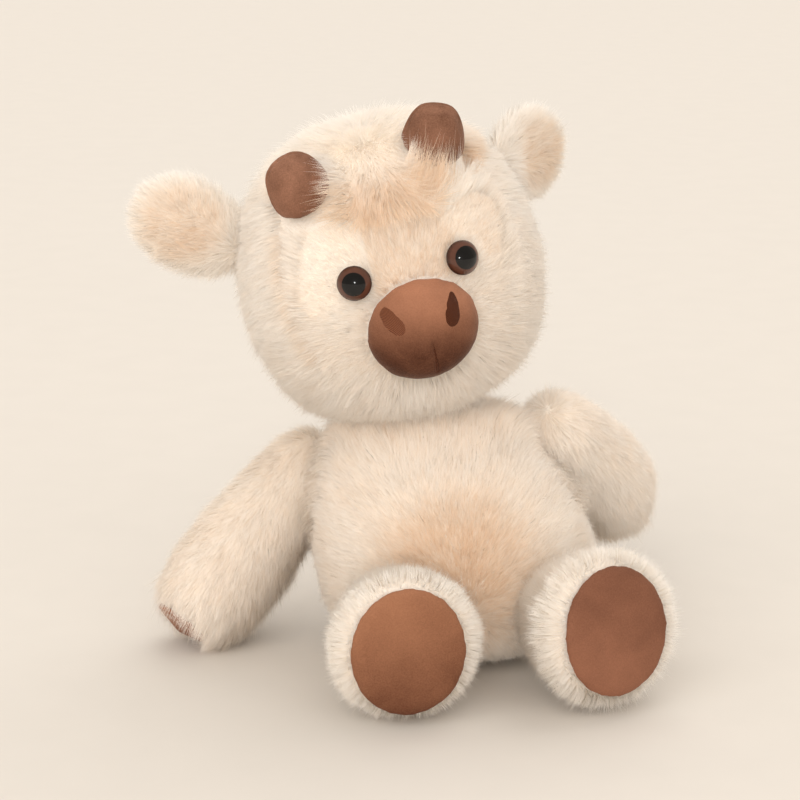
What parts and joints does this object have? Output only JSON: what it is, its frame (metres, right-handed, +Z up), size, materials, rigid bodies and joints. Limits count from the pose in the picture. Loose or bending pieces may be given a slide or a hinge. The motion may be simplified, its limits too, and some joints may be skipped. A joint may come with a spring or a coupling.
{
  "type": "plush cow",
  "caption": "Seated plush cow with cream pile, a bulging brown velvet nose, glossy eyes, stubby velvet horns, side ears and velvet soles; head, arms, legs and ears move.",
  "frame": {"origin": "middle of the flat under the torso that the cow sits on", "axes": "+Z up from the seat, the face and the feet towards -Y, the cow's own left at +X"},
  "size_m": [0.27, 0.2303, 0.2797],
  "materials": {
    "cream_fur": "long soft pile",
    "ear_lining": "short pile",
    "brown_velvet": "velvet",
    "dark_thread": "satin stitch",
    "tonal_thread": "satin stitch",
    "filling": "polyester wadding",
    "eye_brown": "glossy",
    "eye_dome": "clear and glossy",
    "washer": "moulded"
  },
  "bodies": {
    "torso": {"torso_filling": "filling", "torso_skin": "cream_fur"},
    "neck": {"neck_filling": "filling"},
    "head": {"head_filling": "filling", "head_skin": "cream_fur", "left_eye_base": "eye_brown", "left_eye_dome": "eye_dome", "left_eye_washer": "washer", "left_horn_filling": "filling", "left_horn_velvet": "brown_velvet", "left_nostril": "dark_thread", "muzzle_stitch": "dark_thread", "nose_filling": "filling", "nose_velvet": "brown_velvet", "right_eye_base": "eye_brown", "right_eye_dome": "eye_dome", "right_eye_washer": "washer", "right_horn_filling": "filling", "right_horn_velvet": "brown_velvet", "right_nostril": "tonal_thread"},
    "left_arm": {"left_arm_filling": "filling", "left_arm_skin": "cream_fur", "left_hand_pad": "brown_velvet"},
    "right_arm": {"right_arm_filling": "filling", "right_arm_skin": "cream_fur", "right_hand_pad": "brown_velvet"},
    "left_leg": {"left_leg_filling": "filling", "left_leg_skin": "cream_fur", "left_sole_pad": "brown_velvet"},
    "right_leg": {"right_leg_filling": "filling", "right_leg_skin": "cream_fur", "right_sole_pad": "brown_velvet"},
    "left_ear": {"left_ear_back": "cream_fur", "left_ear_lining": "ear_lining"},
    "right_ear": {"right_ear_back": "cream_fur", "right_ear_lining": "ear_lining"}
  },
  "joints": [
    {"name": "neck_turn", "type": "hinge", "parent": "torso", "child": "neck", "pos_m": [-0.022, 0.016, 0.12522], "axis": [0, 0, 1], "range_deg": [-35, 35]},
    {"name": "head_nod", "type": "hinge", "parent": "neck", "child": "head", "pos_m": [-0.022, 0.016, 0.12522], "axis": [0.9508, 0.1934, 0.2419], "range_deg": [-15, 12]},
    {"name": "left_shoulder", "type": "hinge", "parent": "torso", "child": "left_arm", "pos_m": [0.04832, 0.03003, 0.10459], "axis": [0.7265, 0.2689, 0.6324], "range_deg": [-80, 40]},
    {"name": "right_shoulder", "type": "hinge", "parent": "torso", "child": "right_arm", "pos_m": [-0.08168, 0.031, 0.08438], "axis": [-0.9302, 0.3486, 0.1149], "range_deg": [0, 70]},
    {"name": "left_hip", "type": "hinge", "parent": "torso", "child": "left_leg", "pos_m": [0.0483, -0.05483, 0.0348], "axis": [0.8988, 0.4384, 0], "range_deg": [-25, 0]},
    {"name": "right_hip", "type": "hinge", "parent": "torso", "child": "right_leg", "pos_m": [-0.03596, -0.0649, 0.0373], "axis": [0.9877, 0.1564, 0], "range_deg": [-25, 0]},
    {"name": "left_ear_fold", "type": "hinge", "parent": "head", "child": "left_ear", "pos_m": [0.01676, 0.02618, 0.24453], "axis": [0.1083, -0.0132, -0.994], "range_deg": [-5, 25]},
    {"name": "right_ear_fold", "type": "hinge", "parent": "head", "child": "right_ear", "pos_m": [-0.1131, -0.00263, 0.20572], "axis": [0.4574, 0.1195, 0.8812], "range_deg": [-20, 20]}
  ]
}
